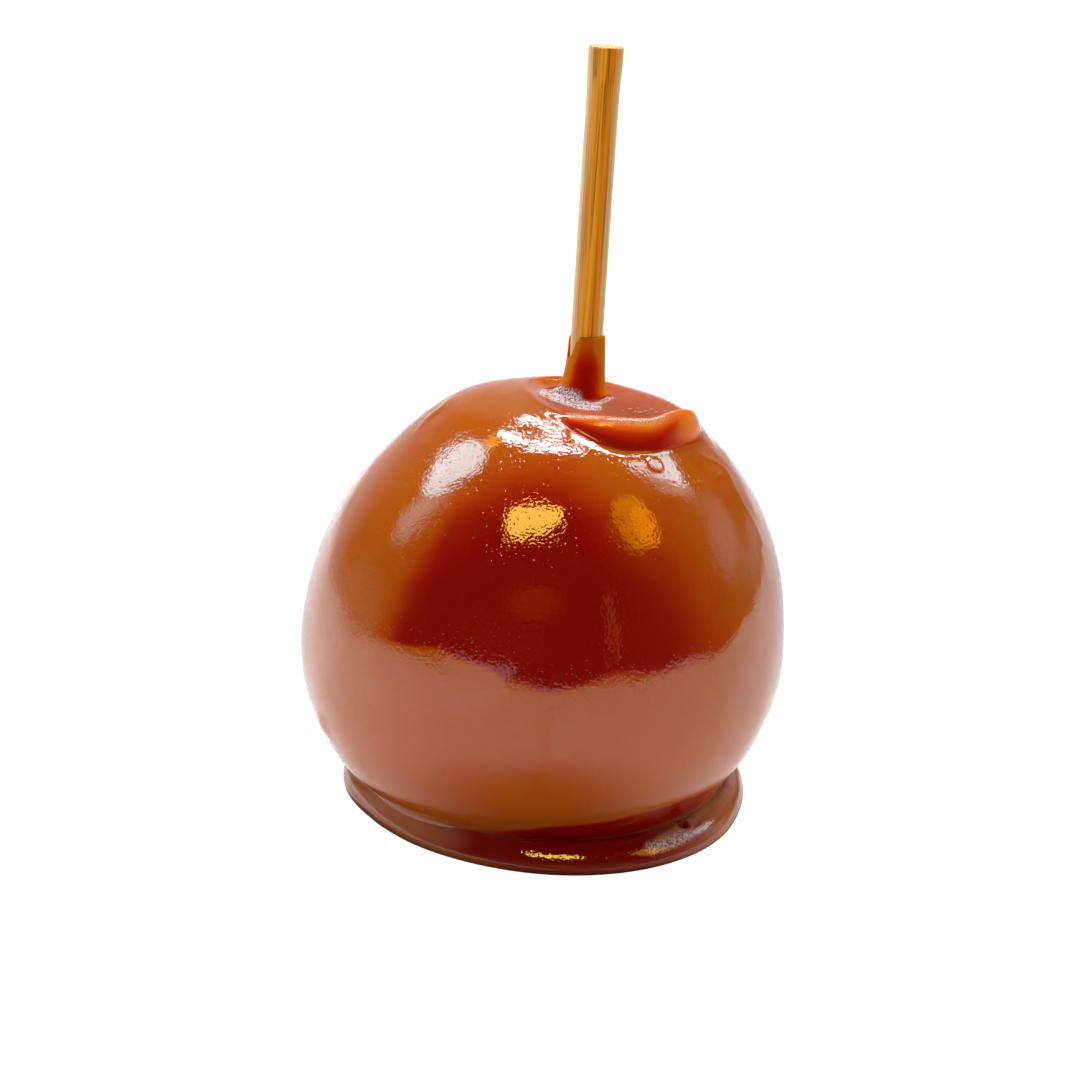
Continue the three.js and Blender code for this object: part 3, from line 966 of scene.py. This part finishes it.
def table_material():
    """White to the eye right up to the apple, and a lit white board to its gloss, with a painted
    shadow by the foot.
    """
    material, nodes, shader = new_material("white_table")
    shader.inputs["Roughness"].default_value = 0.7
    shader.inputs["Specular IOR Level"].default_value = 0.0
    shader.inputs["Emission Color"].default_value = (1.0, 1.0, 1.0, 1)
    place = nodes.add("ShaderNodeNewGeometry").outputs["Position"]
    along = nodes.split(place)
    # painted shadow: 0 in the dark patch in front of the foot and under it, 1 beyond
    out_of_shadow = nodes.math(
        "MULTIPLY",
        nodes.fade(nodes.measure("DISTANCE", place, SHADOW_PLACE), *SHADOW_REACH),
        nodes.fade(nodes.measure("LENGTH", place), *UNDER_FOOT),
    )
    # 0 straight behind the apple, and 1 in front of it and well to the side
    aside = nodes.math("ABSOLUTE", along["X"])
    beside = nodes.fade(
        nodes.math("DIVIDE", aside, nodes.math("MAXIMUM", along["Y"], 0.001)), 0.1, 2.2
    )
    board = nodes.mix(beside, TABLE_BEHIND, TABLE_BESIDE)
    nodes.put(shader.inputs["Base Color"], nodes.mix(out_of_shadow, TABLE_SHADOW, board))
    glow = nodes.math("MULTIPLY", beside, 0.42)
    glow = nodes.math("ADD", glow, nodes.fade(along["X"], -0.03, -0.15, end=0.52))
    far_back = nodes.fade(along["Y"], 0.12, 0.40, end=0.45)
    behind = nodes.math("MULTIPLY", far_back, nodes.math("SUBTRACT", 1.0, beside))
    glow = nodes.math("ADD", glow, behind)
    path = nodes.add("ShaderNodeLightPath")
    glow = nodes.math("MULTIPLY", glow, nodes.scaled(path.outputs["Is Glossy Ray"], 0.4, 0.6))
    nodes.put(shader.inputs["Emission Strength"], nodes.math("MULTIPLY", glow, out_of_shadow))
    white = nodes.add("ShaderNodeEmission", {"Strength": 1.1})
    choose = nodes.add("ShaderNodeMixShader", {0: path.outputs["Is Camera Ray"]})
    nodes.put(choose.inputs[1], shader.outputs[0])
    nodes.put(choose.inputs[2], white.outputs[0])
    output = next(n for n in material.node_tree.nodes if n.type == "OUTPUT_MATERIAL")
    nodes.put(output.inputs["Surface"], choose.outputs[0])
    return material


def table():
    white = table_material()
    sheet("table", TABLE_OUTLINE, white)
    far = sheet("table_surround", ((-6, -6), (6, -6), (6, 6), (-6, 6)), white, z=-0.001)
    far.visible_glossy = False
    far.visible_diffuse = False
    far.visible_transmission = False
    far.visible_shadow = False


# name, azimuth, elevation, heading of the long side, length and width in degrees,
# softness of the edge, squareness (2 is an oval), light
SOFT_BOXES = (
    ("left_wash", -80, 37, -80, 22, 15, 1.0, 2, (1.6, 2.6, 2.7)),
    ("right_wash", 71, 14, 71, 20, 24, 1.0, 2, (0.5, 0.8, 0.85)),
    ("right_glow", 71, 42, 71, 26, 14, 1.0, 2, (1.6, 2.4, 2.3)),
    ("left_box", -61.5, 50.5, -61.5, 21.5, 19, 0.25, 2.4, (6.5, 11, 12)),
    ("top_left", -30, 65, -30, 13, 5.5, 0.4, 3, (26, 27.5, 28.5)),
    ("top_fill", 0, 70, 90, 18, 7, 0.8, 3, (1.8, 1.9, 2.0)),
    ("top_bar", 3, 74.3, 90, 20, 3.6, 0.3, 3, (32, 33.5, 34.5)),
    ("top_branch", -10, 59, -42, 13, 2.8, 0.4, 3, (30, 31.5, 32.5)),
    ("top_middle", 9, 67.3, 99, 13, 3, 0.4, 3, (30, 31.5, 32.5)),
    ("top_right", 28, 58.5, 47, 17, 5.5, 0.3, 3, (30, 31, 32)),
    ("right_box", 61, 48.5, 61, 26, 12, 0.2, 3, (6.2, 9.5, 10.2)),
    ("warm_left", -162, 61.2, -84, 24, 14.5, 0.15, 5, (19, 12.3, 1.7)),
    ("warm_right", 115, 48.5, 115, 25, 19, 0.4, 3, (5.0, 2.3, 0.04)),
    ("warm_core", 112, 43, 112, 13, 11, 0.6, 3, (9, 3.8, 0.05)),
    ("warm_corner", -43, 61, 45, 8, 6, 0.6, 3, (8, 4, 0.4)),
    ("left_card", -78, 6, 12, 26, 14, 1.0, 2, (0.34, 0.36, 0.37)),
    ("right_card", 24, 22, 114, 26, 22, 1.0, 2, (0.75, 0.78, 0.80)),
    ("front_card", -149, -1, -59, 36, 11, 0.15, 4, (1.3, 1.35, 1.35)),
    ("front_streak", 148, 12, 148, 30, 4, 0.6, 3, (1.8, 0.45, 0.12)),
    ("front_glow", -172, 26, 90, 20, 14, 1.0, 2, (1.3, 0.25, 0.02)),
)


def soft_box_group():
    """Light from one soft-edged box far away, from the direction that is looked in."""
    group = bpy.data.node_groups.new("soft_box", "ShaderNodeTree")
    for socket in ("Direction", "Centre", "Along", "Across"):
        group.interface.new_socket(socket, in_out="INPUT", socket_type="NodeSocketVector")
    for socket in ("Half Length", "Half Width", "Edge", "Squareness"):
        group.interface.new_socket(socket, in_out="INPUT", socket_type="NodeSocketFloat")
    group.interface.new_socket("Mask", in_out="OUTPUT", socket_type="NodeSocketFloat")
    nodes = Nodes(group)
    given = nodes.add("NodeGroupInput").outputs
    facing = nodes.measure("DOT_PRODUCT", given["Direction"], given["Centre"])
    total = None
    for side, half in (("Along", "Half Length"), ("Across", "Half Width")):
        away = nodes.measure("DOT_PRODUCT", given["Direction"], given[side])
        away = nodes.math("DIVIDE", nodes.math("DIVIDE", away, facing), given[half])
        power = nodes.math("POWER", nodes.math("ABSOLUTE", away), given["Squareness"])
        total = power if total is None else nodes.math("ADD", total, power)
    inner = nodes.math("SUBTRACT", 1.0, given["Edge"])
    outer = nodes.math("ADD", 1.0, given["Edge"])
    soft = nodes.fade(total, inner, outer, 1.0, 0.0)
    ahead = nodes.math("GREATER_THAN", facing, 0.0)
    out = nodes.add("NodeGroupOutput")
    nodes.put(out.inputs["Mask"], nodes.math("MULTIPLY", soft, ahead))
    return group


ROOM = (0.08, 0.05, 0.03, 1)
HORIZON = (0.45, 0.47, 0.48, 1)
PALE_WALL = (0.72, 0.76, 0.78, 1)


def studio_world():
    """White to the eye. The gloss sees soft boxes in a dim room with a pale wall behind."""
    world = bpy.data.worlds.new("studio")
    bpy.context.scene.world = world
    world.use_nodes = True
    world.node_tree.nodes.clear()
    nodes = Nodes(world.node_tree)
    direction = nodes.add("ShaderNodeTexCoord").outputs["Generated"]
    toward = nodes.split(direction)
    # a pale wall behind, a little to the left, that fades upwards
    aside = nodes.math("ABSOLUTE", nodes.math("ADD", toward["X"], 0.25))
    aside = nodes.math("DIVIDE", aside, nodes.math("MAXIMUM", toward["Y"], 0.001))
    wall = nodes.math(
        "MULTIPLY",
        nodes.fade(aside, 0.30, 1.10, 1.0, 0.0),
        nodes.fade(toward["Z"], 0.65, 0.15, kind="LINEAR"),
    )
    # and a pale strip along the horizon on that side
    horizon = nodes.fade(nodes.math("ABSOLUTE", toward["Z"]), 0.12, 0.02, kind="LINEAR")
    ahead = nodes.measure("DOT_PRODUCT", direction, heading(-12))
    strip = nodes.math("MULTIPLY", horizon, nodes.fade(ahead, 0.12, 0.30, kind="LINEAR"))
    light = nodes.mix(strip, ROOM, HORIZON)
    light = nodes.mix(wall, light, PALE_WALL)
    group = soft_box_group()
    for name, azimuth, elevation, along, length, width, edge, square, glow in SOFT_BOXES:
        centre = heading(azimuth, elevation)
        across = centre.cross(heading(along)).normalized()
        box = nodes.add("ShaderNodeGroup", node_tree=group, label=name)
        nodes.put(box.inputs["Direction"], direction)
        box.inputs["Centre"].default_value = centre
        box.inputs["Across"].default_value = across
        box.inputs["Along"].default_value = across.cross(centre)
        box.inputs["Half Length"].default_value = math.tan(math.radians(length / 2))
        box.inputs["Half Width"].default_value = math.tan(math.radians(width / 2))
        box.inputs["Edge"].default_value = edge
        box.inputs["Squareness"].default_value = square
        light = nodes.mix(box.outputs["Mask"], light, (*glow, 1))
    room = nodes.add("ShaderNodeBackground", {"Color": light})
    dim = nodes.add("ShaderNodeBackground", {"Color": (1, 1, 1, 1), "Strength": 0.12})
    white = nodes.add("ShaderNodeBackground", {"Color": (1, 1, 1, 1), "Strength": 1.1})
    path = nodes.add("ShaderNodeLightPath")
    glossy = nodes.add("ShaderNodeMixShader", {0: path.outputs["Is Glossy Ray"]})
    nodes.put(glossy.inputs[1], dim.outputs[0])
    nodes.put(glossy.inputs[2], room.outputs[0])
    seen = nodes.add("ShaderNodeMixShader", {0: path.outputs["Is Camera Ray"]})
    nodes.put(seen.inputs[1], glossy.outputs[0])
    nodes.put(seen.inputs[2], white.outputs[0])
    output = nodes.add("ShaderNodeOutputWorld")
    nodes.put(output.inputs["Surface"], seen.outputs[0])


def lamp(name, azimuth, elevation, distance, size, radiance):
    """A soft lamp for the body colour. It does not show in the gloss."""
    away = heading(azimuth, elevation)
    light = bpy.data.lights.new(name, "AREA")
    light.shape = "RECTANGLE"
    light.size, light.size_y = size
    light.energy = radiance * math.pi * size[0] * size[1]
    piece = bpy.data.objects.new(name, light)
    piece.location = AIM + away * distance
    piece.rotation_euler = away.to_track_quat("Z", "Y").to_euler()
    piece.visible_glossy = False
    bpy.context.collection.objects.link(piece)


def lamps():
    # azimuth, elevation, distance and size in metres, radiance
    lamp("lamp_left", -72, 64, 0.9, (0.5, 0.5), 2.8)
    lamp("lamp_right", 72, 64, 0.9, (0.45, 0.5), 4.3)
    lamp("lamp_top", 0, 66, 0.9, (0.7, 0.3), 8.6)
    lamp("lamp_front", 180, 22, 0.9, (0.5, 0.5), 2.0)


def camera():
    lens = bpy.data.cameras.new("camera")
    lens.sensor_width = 36
    lens.lens = 79.0
    lens.clip_start = 0.01
    eye = bpy.data.objects.new("camera", lens)
    eye.location = (-0.0007, -0.3985, 0.1801)
    eye.rotation_euler = (math.radians(90 - 18.2), 0, 0)
    bpy.context.collection.objects.link(eye)
    bpy.context.scene.camera = eye


# ---------------------------------------------------------------------- assembly
caramel = caramel_material()
bamboo = bamboo_material()

coat = caramel_coat(caramel)
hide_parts("caramel_coat")
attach(coat, "root")

bubbles = bubbles_piece(coat, caramel)
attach(bubbles, "root")

stick = stick_piece(bamboo)
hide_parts("stick")
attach(stick, "root")

table()
studio_world()
lamps()
camera()
bpy.context.scene.view_settings.view_transform = "Standard"
